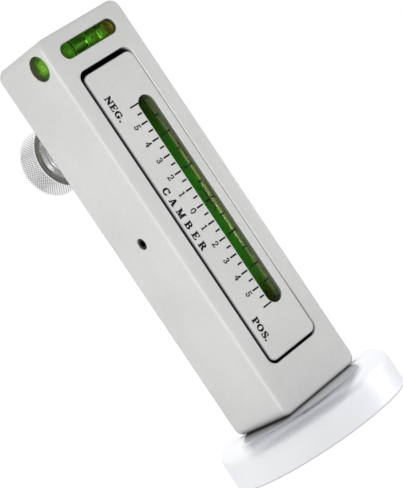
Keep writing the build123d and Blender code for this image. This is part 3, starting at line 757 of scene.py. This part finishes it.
def barrel_profile(half, radius, barrel):
    """Outline of a ground chamber's fill. barrel is the radius of the arc that the wall follows."""
    rim = radius - (barrel - math.sqrt(barrel**2 - half**2)) - SKIN_GAP
    end = half - SKIN_GAP
    outline = [(0, -end), (rim * 0.5, -end)]
    for row in range(BARREL_ROWS + 1):
        height = -half + 2 * half * row / BARREL_ROWS
        place_radius = radius - (barrel - math.sqrt(barrel**2 - height**2)) - SKIN_GAP
        outline.append((place_radius, max(-end, min(end, height))))
    outline += [(rim * 0.5, end), (0, end)]
    return outline


def around_z(x, y, z):
    return lambda r, a, h: (x + r * math.cos(a), y + r * math.sin(a), z + h)


def around_x(x, y, z):
    return lambda r, a, h: (x + h, y + r * math.cos(a), z + r * math.sin(a))


def around_y(x, z, start_y):
    return lambda r, a, h: (x + r * math.cos(a), start_y + h, z + r * math.sin(a))


# Liquids. Each is the whole fill of its chamber, with the bubble as an air space inside it.
points, faces = turned(
    barrel_profile(half=40.5, radius=3.5, barrel=339.2), SEGMENTS, around_z(*CAMBER_CENTRE)
)
camber_liquid = mesh_object(
    "camber_liquid_fill", points, faces, camber_green, "carrier", "green_liquid", False
)
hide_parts("camber_vial_liquid")
points, faces = turned(
    barrel_profile(half=7.9, radius=2.9, barrel=150.0), SEGMENTS, around_x(*LEVEL_CENTRE)
)
level_liquid = mesh_object(
    "level_liquid_fill", points, faces, level_green, "housing_body", "green_liquid", False
)
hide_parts("level_vial_liquid")

# Knob with a knurled rim. Each diamond of the knurl is a small pyramid. The outlines hold radius
# and height in pairs, and heights count from the rim's front face backwards.
knob_outline = [  # collar, dish and face of the rim
    (3.06, -1.2), (5.0, -1.2), (5.6, -1.2), (5.95, -1.15), (6.15, -1.03), (6.27, -0.85),
    (6.3, -0.6), (6.3, 0.1), (6.3, 0.9), (6.36, 1.0), (8.9, 1.0), (9.0, 0.96), (9.03, 0.85),
    (9.03, 0.1), (9.08, 0.02), (9.16, 0.0), (10.4, 0.0), (10.9, 0.0), (RIM - RIM_ROUND, 0.03),
]
columns = 2 * KNURLS
put = around_y(KNOB_AXIS_X, KNOB_AXIS_Z, KNOB_BACK - KNOB_LENGTH)
points, faces = turned(knob_outline, columns, put)
start = len(points)
for row in range(KNURL_ROWS + 1):
    height = KNURL_START + KNURL_LENGTH * row / KNURL_ROWS
    for step in range(columns):
        peak = (row + step) % 2
        edge = row in (0, KNURL_ROWS)
        radius = RIM - (RIM_ROUND if edge else 0 if peak else KNURL_DEPTH)
        points.append(put(radius, 2 * math.pi * step / columns, height))
faces += bridge(start - columns, start, columns)
for row in range(KNURL_ROWS):
    for step in range(columns):
        after = (step + 1) % columns
        low = start + row * columns
        high = low + columns
        if (row + step) % 2 == 0:
            faces.append((low + step, low + after, high + after))
            faces.append((low + step, high + after, high + step))
        else:
            faces.append((low + step, low + after, high + step))
            faces.append((low + after, high + after, high + step))
back_outline = [
    (RIM - RIM_ROUND, 9.87), (10.6, 9.97), (10.45, 10.0), (7.6, 10.0), (7.4, 9.96), (7.3, 9.8),
    (7.2, 9.7), (4.0, 9.7), (1.2, 9.7), (0.9, 9.6), (0, 9.2),
]
last, back = start + KNURL_ROWS * columns, len(points)
points, faces = joined([(points, faces), turned(back_outline, columns, put)])
faces += bridge(last, back, columns)
# the bore for the screw, from its blind end forwards to the collar's face
bore_outline = [(0, 7.0), (3.0, 7.0), (3.02, 6.9), (3.02, -1.0), (3.06, -1.2)]
points, faces = joined([(points, faces), turned(bore_outline, columns, put)])
knob = mesh_object("knurled_knob", points, faces, chrome, "adjuster", "chrome", False)
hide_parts("adjuster_knob")


# Print. A sign is drawn as a field that is negative inside its strokes, in units of its own height,
# and its outlines are traced from the field, so that strokes that cross join into one shape. Each
# table holds the width and the strokes of its signs.


def box(x0, y0, x1, y1):
    return lambda x, y: np.maximum(np.maximum(x0 - x, x - x1), np.maximum(y0 - y, y - y1))


def oval(cx, cy, rx, ry):
    return lambda x, y: (np.hypot((x - cx) / rx, (y - cy) / ry) - 1) * min(rx, ry)


def bar(ax, ay, bx, by, width):
    length = math.hypot(bx - ax, by - ay)
    ux, uy = (bx - ax) / length, (by - ay) / length

    def field(x, y):
        along = (x - ax) * ux + (y - ay) * uy
        aside = np.abs((y - ay) * ux - (x - ax) * uy)
        return np.maximum(np.maximum(-along, along - length), aside - width / 2)

    return field


def less(first, second):
    return lambda x, y: np.maximum(first(x, y), -second(x, y))


def both(first, second):
    return lambda x, y: np.maximum(first(x, y), second(x, y))


def either(first, second):
    return lambda x, y: np.minimum(first(x, y), second(x, y))


def ring(cx, cy, rx, ry, side, top):
    return less(oval(cx, cy, rx, ry), oval(cx, cy, rx - side, ry - top))


def arcs(ring_sizes, first, second):
    """The parts of a ring that lie in one of two boxes."""
    return both(ring(*ring_sizes), either(box(*first), box(*second)))


FAR = 9.0  # beyond every sign
FAT = 0.235  # width of a bold stem
GROWTH = 0.036  # every stroke is this much fatter on each side
GRID = 0.02  # step of the grid on which a field is traced
GRID_MARGIN = 0.06  # the grid reaches this far past a sign,
GRID_RIGHT = 0.3  # and this far past its right side
LEAST = 1e-6  # the field is kept this far from zero at the grid's points
BEND = 0.001  # a point this close to the line between its neighbours is left out,
LONGEST = 0.4  # if they are closer than this
FEWEST = 8  # and the loop has at least so many points
PRINT_HEIGHT = 0.02

THIN = {
    "0": (0.56, [ring(0.28, 0.5, 0.28, 0.5, 0.11, 0.05)]),
    "1": (0.40, [
        box(0.15, 0.0, 0.26, 1.0), box(0.02, 0.0, 0.39, 0.05), bar(0.02, 0.86, 0.22, 0.98, 0.06),
    ]),
    "2": (0.56, [
        arcs((0.27, 0.72, 0.25, 0.28, 0.11, 0.05), (-FAR, 0.72, FAR, FAR), (0.27, 0.58, FAR, FAR)),
        bar(0.455, 0.62, 0.05, 0.06, 0.075), box(0.02, 0.0, 0.52, 0.10),
        bar(0.50, 0.02, 0.54, 0.22, 0.05), oval(0.09, 0.73, 0.075, 0.075),
    ]),
    "3": (0.54, [
        arcs((0.25, 0.755, 0.22, 0.245, 0.1, 0.05), (0.2, -FAR, FAR, FAR), (-FAR, 0.86, FAR, FAR)),
        arcs((0.25, 0.27, 0.26, 0.27, 0.115, 0.05), (0.2, -FAR, FAR, FAR), (-FAR, -FAR, FAR, 0.14)),
        oval(0.085, 0.80, 0.07, 0.07), oval(0.075, 0.19, 0.075, 0.075),
    ]),
    "4": (0.60, [
        box(0.36, 0.0, 0.47, 1.0), box(0.0, 0.25, 0.60, 0.31), bar(0.42, 0.99, 0.03, 0.28, 0.06),
        box(0.27, 0.0, 0.56, 0.045),
    ]),
    "5": (0.54, [
        box(0.09, 0.89, 0.49, 1.0), box(0.09, 0.50, 0.145, 0.97),
        arcs(
            (0.25, 0.315, 0.27, 0.315, 0.115, 0.055),
            (0.13, -FAR, FAR, FAR), (-FAR, -FAR, FAR, 0.14),
        ),
        oval(0.075, 0.19, 0.075, 0.075),
    ]),
}
BOLD = {
    "N": (1.0, [
        box(0.10, 0.0, 0.20, 1.0), box(0.80, 0.0, 0.90, 1.0), bar(0.16, 0.90, 0.84, 0.10, 0.26),
        box(0.0, 0.0, 0.31, 0.08), box(0.0, 0.92, 0.28, 1.0), box(0.69, 0.92, 1.0, 1.0),
    ]),
    "E": (0.86, [
        box(0.10, 0.0, 0.10 + FAT, 1.0), box(0.0, 0.0, 0.82, 0.08), box(0.0, 0.92, 0.80, 1.0),
        box(0.10, 0.46, 0.58, 0.54), box(0.52, 0.36, 0.60, 0.64), box(0.73, 0.70, 0.80, 1.0),
        box(0.76, 0.0, 0.84, 0.30),
    ]),
    "G": (0.98, [
        less(ring(0.47, 0.5, 0.47, 0.5, FAT, 0.08), box(0.55, 0.40, FAR, 0.80)),
        box(0.62, 0.05, 0.84, 0.42), box(0.52, 0.38, 0.98, 0.46), box(0.80, 0.66, 0.87, 0.98),
    ]),
    "P": (0.86, [
        box(0.10, 0.0, 0.10 + FAT, 1.0), box(0.0, 0.0, 0.47, 0.08),
        box(0.0, 0.92, 0.52, 1.0), box(0.20, 0.42, 0.52, 0.49),
        both(ring(0.50, 0.71, 0.34, 0.29, 0.22, 0.08), box(0.50, -FAR, FAR, FAR)),
    ]),
    "O": (0.96, [ring(0.48, 0.5, 0.48, 0.5, FAT, 0.07)]),
    "S": (0.74, [
        arcs(
            (0.36, 0.735, 0.34, 0.265, 0.19, 0.07),
            (-FAR, 0.62, 0.36, FAR), (-FAR, 0.88, 0.62, FAR),
        ),
        arcs((0.37, 0.275, 0.35, 0.275, 0.2, 0.07), (0.37, -FAR, FAR, 0.4), (0.1, -FAR, FAR, 0.12)),
        bar(0.13, 0.66, 0.62, 0.36, 0.235), box(0.60, 0.66, 0.67, 1.0), box(0.03, 0.0, 0.10, 0.36),
    ]),
    "C": (0.92, [
        less(ring(0.47, 0.5, 0.47, 0.5, FAT, 0.08), box(0.58, 0.26, FAR, 0.76)),
        box(0.80, 0.66, 0.87, 0.98), bar(0.74, 0.10, 0.90, 0.29, 0.08),
    ]),
    "A": (1.0, [
        bar(0.17, 0.03, 0.47, 0.97, 0.10), bar(0.79, 0.03, 0.50, 0.97, 0.25),
        box(0.28, 0.26, 0.66, 0.35), box(0.02, 0.0, 0.34, 0.08), box(0.59, 0.0, 0.99, 0.08),
    ]),
    "M": (1.2, [
        box(0.12, 0.0, 0.21, 1.0), box(0.86, 0.0, 0.86 + FAT, 1.0),
        bar(0.22, 0.97, 0.60, 0.03, 0.24), bar(0.98, 0.97, 0.60, 0.03, 0.09),
        box(0.0, 0.0, 0.33, 0.075), box(0.0, 0.925, 0.30, 1.0),
        box(0.76, 0.0, 1.2, 0.075), box(0.92, 0.925, 1.2, 1.0),
    ]),
    "B": (0.90, [
        box(0.10, 0.0, 0.10 + FAT, 1.0), box(0.0, 0.0, 0.55, 0.08), box(0.0, 0.92, 0.52, 1.0),
        box(0.20, 0.48, 0.54, 0.55),
        both(ring(0.48, 0.755, 0.32, 0.245, 0.21, 0.075), box(0.48, -FAR, FAR, FAR)),
        both(ring(0.50, 0.275, 0.37, 0.275, 0.22, 0.075), box(0.50, -FAR, FAR, FAR)),
    ]),
    "R": (1.0, [
        box(0.10, 0.0, 0.10 + FAT, 1.0), box(0.0, 0.0, 0.42, 0.08), box(0.0, 0.92, 0.50, 1.0),
        box(0.20, 0.46, 0.56, 0.54),
        both(ring(0.48, 0.73, 0.34, 0.27, 0.22, 0.08), box(0.48, -FAR, FAR, FAR)),
        bar(0.54, 0.48, 0.80, 0.06, 0.23), box(0.70, 0.0, 1.0, 0.08),
    ]),
    ".": (0.34, [oval(0.13, 0.115, 0.12, 0.115)]),
}


def traced(parts, width):
    """Closed outlines of the shapes, found where the joined field crosses zero on a fine grid."""
    xs = np.arange(-GRID_MARGIN, width + GRID_RIGHT, GRID)
    ys = np.arange(-GRID_MARGIN, 1 + GRID_MARGIN + GRID, GRID)
    grid_x, grid_y = np.meshgrid(xs, ys, indexing="ij")
    field = np.minimum.reduce([part(grid_x, grid_y) for part in parts]) - GROWTH
    field = np.where(np.abs(field) < LEAST, LEAST, field)
    nx, ny = field.shape

    def cut(i, j, k, m):
        share = field[i, j] / (field[i, j] - field[k, m])
        return (xs[i] + (xs[k] - xs[i]) * share, ys[j] + (ys[m] - ys[j]) * share)

    follow, spot = {}, {}
    for i in range(nx - 1):
        for j in range(ny - 1):
            corners = [(i, j), (i + 1, j), (i + 1, j + 1), (i, j + 1)]
            signs = [field[c] < 0 for c in corners]
            if all(signs) or not any(signs):
                continue
            entries, exits = [], []
            for side in range(4):
                one, two = corners[side], corners[(side + 1) % 4]
                if signs[side] != signs[(side + 1) % 4]:
                    key = (min(one, two), max(one, two))
                    spot[key] = cut(*one, *two)
                    (exits if signs[side] else entries).append(key)
            for key_in, key_out in zip(entries, exits):
                follow[key_in] = key_out
    loops = []
    while follow:
        first = next(iter(follow))
        loop, here = [], first
        while here in follow:
            loop.append(spot[here])
            here = follow.pop(here)
        loops.append(loop)
    return loops


def straightened(loop):
    """The loop without the points that lie on the line between their neighbours."""
    kept = list(loop)
    changed = True
    while changed:
        changed = False
        for index in range(len(kept) - 1, -1, -1):
            if len(kept) < FEWEST:
                break
            a, b, c = kept[index - 1], kept[index], kept[(index + 1) % len(kept)]
            length = math.hypot(c[0] - a[0], c[1] - a[1])
            area = abs((c[0] - a[0]) * (b[1] - a[1]) - (c[1] - a[1]) * (b[0] - a[0]))
            if length > 0 and area / length < BEND and length < LONGEST:
                del kept[index]
                changed = True
    return kept


def printed(name, loops):
    """A thin raised print on the carrier's face, from loops of (x, z) places."""
    curve = bpy.data.curves.new(name, "CURVE")
    curve.dimensions = "2D"
    curve.fill_mode = "BOTH"
    curve.extrude = PRINT_HEIGHT / 2
    for loop in loops:
        spline = curve.splines.new("POLY")
        spline.points.add(len(loop) - 1)
        for point, (x, z) in zip(spline.points, loop):
            point.co = (x, z, 0, 1)
        spline.use_cyclic_u = True
    shape = bpy.data.objects.new(name + "_shape", curve)
    data = bpy.data.meshes.new_from_object(shape)
    bpy.data.objects.remove(shape)
    bpy.data.curves.remove(curve)
    depth = CARRIER_FRONT - PRINT_HEIGHT / 2
    stand = Matrix(((MM, 0, 0, 0), (0, 0, -MM, depth * MM), (0, MM, 0, 0), (0, 0, 0, 1)))
    data.transform(stand)
    data.name = name
    riding(name, data, PRINT_MERGE * MM, black_print, "carrier")


def sign(table, letter, foot_x, middle_z, height, stretch=1.0):
    """Loops of a letter whose top points to +X and whose reading runs downwards."""
    width, parts = table[letter]
    found = []
    for loop in traced(parts, width):
        loop = straightened(loop)
        if len(loop) > 3:
            found.append([
                (foot_x + y * height, middle_z - (x - width / 2) * height * stretch)
                for x, y in loop
            ])
    return found


def tick(z, x0, x1, width):
    """A division line from x0 to x1 with softly rounded corners."""
    loop = []
    corners = [
        (x1 - TICK_ROUND, z + width / 2 - TICK_ROUND, 0),
        (x0 + TICK_ROUND, z + width / 2 - TICK_ROUND, 90),
        (x0 + TICK_ROUND, z - width / 2 + TICK_ROUND, 180),
        (x1 - TICK_ROUND, z - width / 2 + TICK_ROUND, 270),
    ]
    for cx, cz, turn in corners:
        for part in (0, 30, 60, 90):
            angle = math.radians(turn + part)
            loop.append((cx + TICK_ROUND * math.cos(angle), cz + TICK_ROUND * math.sin(angle)))
    return loop


SCALE_Z = ZERO_Z - 0.12  # the printed zero lies a little low
END_DEGREE = 6  # last division at each end
TICK_ROUND = 0.05
HALF_TICK = (-1.27, 0.65, 0.54)  # x of the two ends, and width
WHOLE_TICK = (-2.1, 0.67, 0.56)
END_TICK = (-2.15, 1.55, 0.52)
NUMERAL_FOOT, NUMERAL_HEIGHT = -5.08, 2.34
LEGEND = [  # word, x of its foot, height, stretch, and z of its letters
    ("CAMBER", -9.53, 2.5, 0.94, (87.8, 84.1, 80.0, 75.9, 72.2, 68.5)),
    ("NEG.", -8.37, 2.38, 0.98, (119.3, 116.8, 114.3, 112.3)),
    ("POS.", -8.57, 2.38, 0.98, (41.3, 38.9, 36.4, 34.9)),
]

ticks = []
for half_degrees in range(1 - 2 * END_DEGREE, 2 * END_DEGREE):
    z = SCALE_Z + half_degrees * DEGREE / 2
    ticks.append(tick(z, *(HALF_TICK if half_degrees % 2 else WHOLE_TICK)))
for side in (-1, 1):
    ticks.append(tick(SCALE_Z + side * END_DEGREE * DEGREE, *END_TICK))
printed("scale_ticks", ticks)

numerals = []
for degrees in range(1 - END_DEGREE, END_DEGREE):
    z = SCALE_Z + degrees * DEGREE
    numerals += sign(THIN, str(abs(degrees)), NUMERAL_FOOT, z, NUMERAL_HEIGHT)
printed("scale_numerals", numerals)

legend = []
for word, foot_x, height, stretch, places in LEGEND:
    for letter, z in zip(word, places):
        legend += sign(BOLD, letter, foot_x, z, height, stretch)
printed("scale_legend", legend)


# Marks round the vials


def arc_strip(put, radius, thick, along, width, low, high, steps=20):
    """A thin band round a tube from angle low to high in degrees, closed on all sides."""
    points, faces = [], []
    for step in range(steps + 1):
        angle = math.radians(low + (high - low) * step / steps)
        for r, h in (
            (radius, along - width / 2), (radius + thick, along - width / 2),
            (radius + thick, along + width / 2), (radius, along + width / 2),
        ):
            points.append(put(r, angle, h))
    for step in range(steps):
        for side in range(4):
            a, b = step * 4 + side, step * 4 + (side + 1) % 4
            faces.append((a, b, b + 4, a + 4))
    faces.append((0, 1, 2, 3))
    faces.append(tuple(steps * 4 + k for k in (3, 2, 1, 0)))
    return points, faces


MARK_THICKNESS = 0.03
CAMBER_MARK_RADIUS, LEVEL_MARK_RADIUS = 4.303, 3.953  # just outside the tubes
CAMBER_MARK_WIDTH = 0.52
CAMBER_FRONT, LEVEL_FRONT = -90.0, 180.0  # angle of the front in around_z and in around_x
LONG_MARK, SHORT_MARK = (-20, 42), (-2, 28)  # first and last angle from the front
LEVEL_REACH = 80  # angle that the cross vial's marks reach to either side
LEVEL_MARKS = ((-5.5, 0.42), (1.95, 0.36), (6.0, 0.42))  # x and width

bands = []
for degrees in range(-END_DEGREE, END_DEGREE + 1):
    low, high = SHORT_MARK if degrees % 2 else LONG_MARK
    bands.append(arc_strip(
        around_z(*CAMBER_CENTRE), CAMBER_MARK_RADIUS, MARK_THICKNESS, degrees * DEGREE,
        CAMBER_MARK_WIDTH, CAMBER_FRONT + low, CAMBER_FRONT + high,
    ))
mesh_object("camber_vial_marks", *joined(bands), black_print, "carrier", "black_plastic")

bands = [
    arc_strip(
        around_x(0, LEVEL_AXIS_Y, LEVEL_AXIS_Z), LEVEL_MARK_RADIUS, MARK_THICKNESS, x,
        width, LEVEL_FRONT - LEVEL_REACH, LEVEL_FRONT + LEVEL_REACH, steps=28,
    )
    for x, width in LEVEL_MARKS
]
mesh_object("level_vial_marks", *joined(bands), black_print, "housing_body", "black_plastic")


# Floor, light and camera. Lengths are in metres here.

FLOOR_REACH = 3.0
FLOOR_DROP = 0.0002  # the floor lies this far under the magnet
FLOOR_MIRROR = 0.6  # share of its white that shows in reflections
FLOOR_GLOW = 0.68
AMBIENT = 0.56  # strength of the world's light on the object
ROOM_BEHIND = (0.62, 0.784, 0.3)  # the way to the room behind the object
# the camera was fitted to the photograph's edges
CAMERA_PLACE = (-0.395476, -0.504035, 0.098653)
CAMERA_RIGHT = Vector((0.63601564, -0.53532686, -0.55579606))
CAMERA_DOWN = Vector((-0.46099788, 0.31401502, -0.82998525))
CAMERA_AHEAD = Vector((0.61884171, 0.78410441, -0.04706608))


def seen_white(tree, mirror_share):
    """1 for rays from the camera and through glass, and mirror_share for rays off a gloss."""
    rays = node(tree, "LightPath")
    mirrored = maths(tree, "MULTIPLY", rays.outputs["Is Glossy Ray"], mirror_share)
    return maths(
        tree, "MAXIMUM", rays.outputs["Is Camera Ray"],
        maths(tree, "MAXIMUM", mirrored, rays.outputs["Is Transmission Ray"]),
    )


floor_data = bpy.data.meshes.new("floor")
floor_corners = [
    (side_x * FLOOR_REACH, side_y * FLOOR_REACH, 0)
    for side_x, side_y in ((-1, -1), (1, -1), (1, 1), (-1, 1))
]
floor_data.from_pydata(floor_corners, [], [(0, 1, 2, 3)])
floor = bpy.data.objects.new("floor", floor_data)
floor.location.z = -FLOOR_DROP
bpy.context.scene.collection.objects.link(floor)
material, tree, output = new_material("pale_floor")
glow_strength = maths(tree, "MULTIPLY", seen_white(tree, FLOOR_MIRROR), FLOOR_GLOW)
pale = node(tree, "BsdfDiffuse", {"Color": (0.7, 0.7, 0.7, 1)}).outputs[0]
glow = node(tree, "Emission", {"Color": (1, 1, 1, 1), "Strength": glow_strength}).outputs[0]
surfaced(tree, output, "AddShader", {0: pale, 1: glow})
floor_data.materials.append(material)

world = bpy.data.worlds.new("studio")
bpy.context.scene.world = world
world.use_nodes = True
tree = world.node_tree
tree.nodes.clear()
# the room behind the object is white, and the room in front of it is dimmer in reflections
behind = dotted(tree, node(tree, "TexCoord").outputs["Generated"], ROOM_BEHIND)
seen = seen_white(tree, spread(tree, behind, 0.0, 1.0, -0.35, 0.1))
surfaced(tree, tree.nodes.new("ShaderNodeOutputWorld"), "Background", {
    "Color": (1, 1, 1, 1), "Strength": spread(tree, seen, AMBIENT, 1.0, 0.0, 1.0),
})


def lamp(name, at, aim, size, power, mirrored):
    """A soft lamp at a place, turned towards another. mirrored lets it show in reflections."""
    data = bpy.data.lights.new(name, "AREA")
    data.shape = "RECTANGLE"
    data.size, data.size_y = size
    data.energy = power
    made = bpy.data.objects.new(name, data)
    bpy.context.scene.collection.objects.link(made)
    made.location = at
    made.rotation_euler = (Vector(aim) - Vector(at)).to_track_quat("-Z", "Y").to_euler()
    made.visible_glossy = mirrored


lamp("key", (-0.62, -0.26, 0.10), (0, 0, 0.08), (0.40, 0.40), 3.6, False)
lamp("fill", (0.22, -0.40, 0.07), (0, 0, 0.07), (0.25, 0.25), 0.60, False)
lamp("side", (0.785, -0.465, 0.036), (0, 0, 0.06), (0.20, 0.06), 0.40, True)

camera_data = bpy.data.cameras.new("camera")
camera_data.sensor_fit = "HORIZONTAL"
camera_data.sensor_width = 36.0
camera_data.lens = 189.82
camera_data.clip_start = 0.01
camera_data.clip_end = 20.0
camera = bpy.data.objects.new("camera", camera_data)
bpy.context.scene.collection.objects.link(camera)
turn = Matrix((CAMERA_RIGHT, -CAMERA_DOWN, -CAMERA_AHEAD)).transposed()
camera.matrix_world = Matrix.Translation(CAMERA_PLACE) @ turn.to_4x4()
bpy.context.scene.camera = camera
bpy.context.scene.view_settings.view_transform = "Standard"
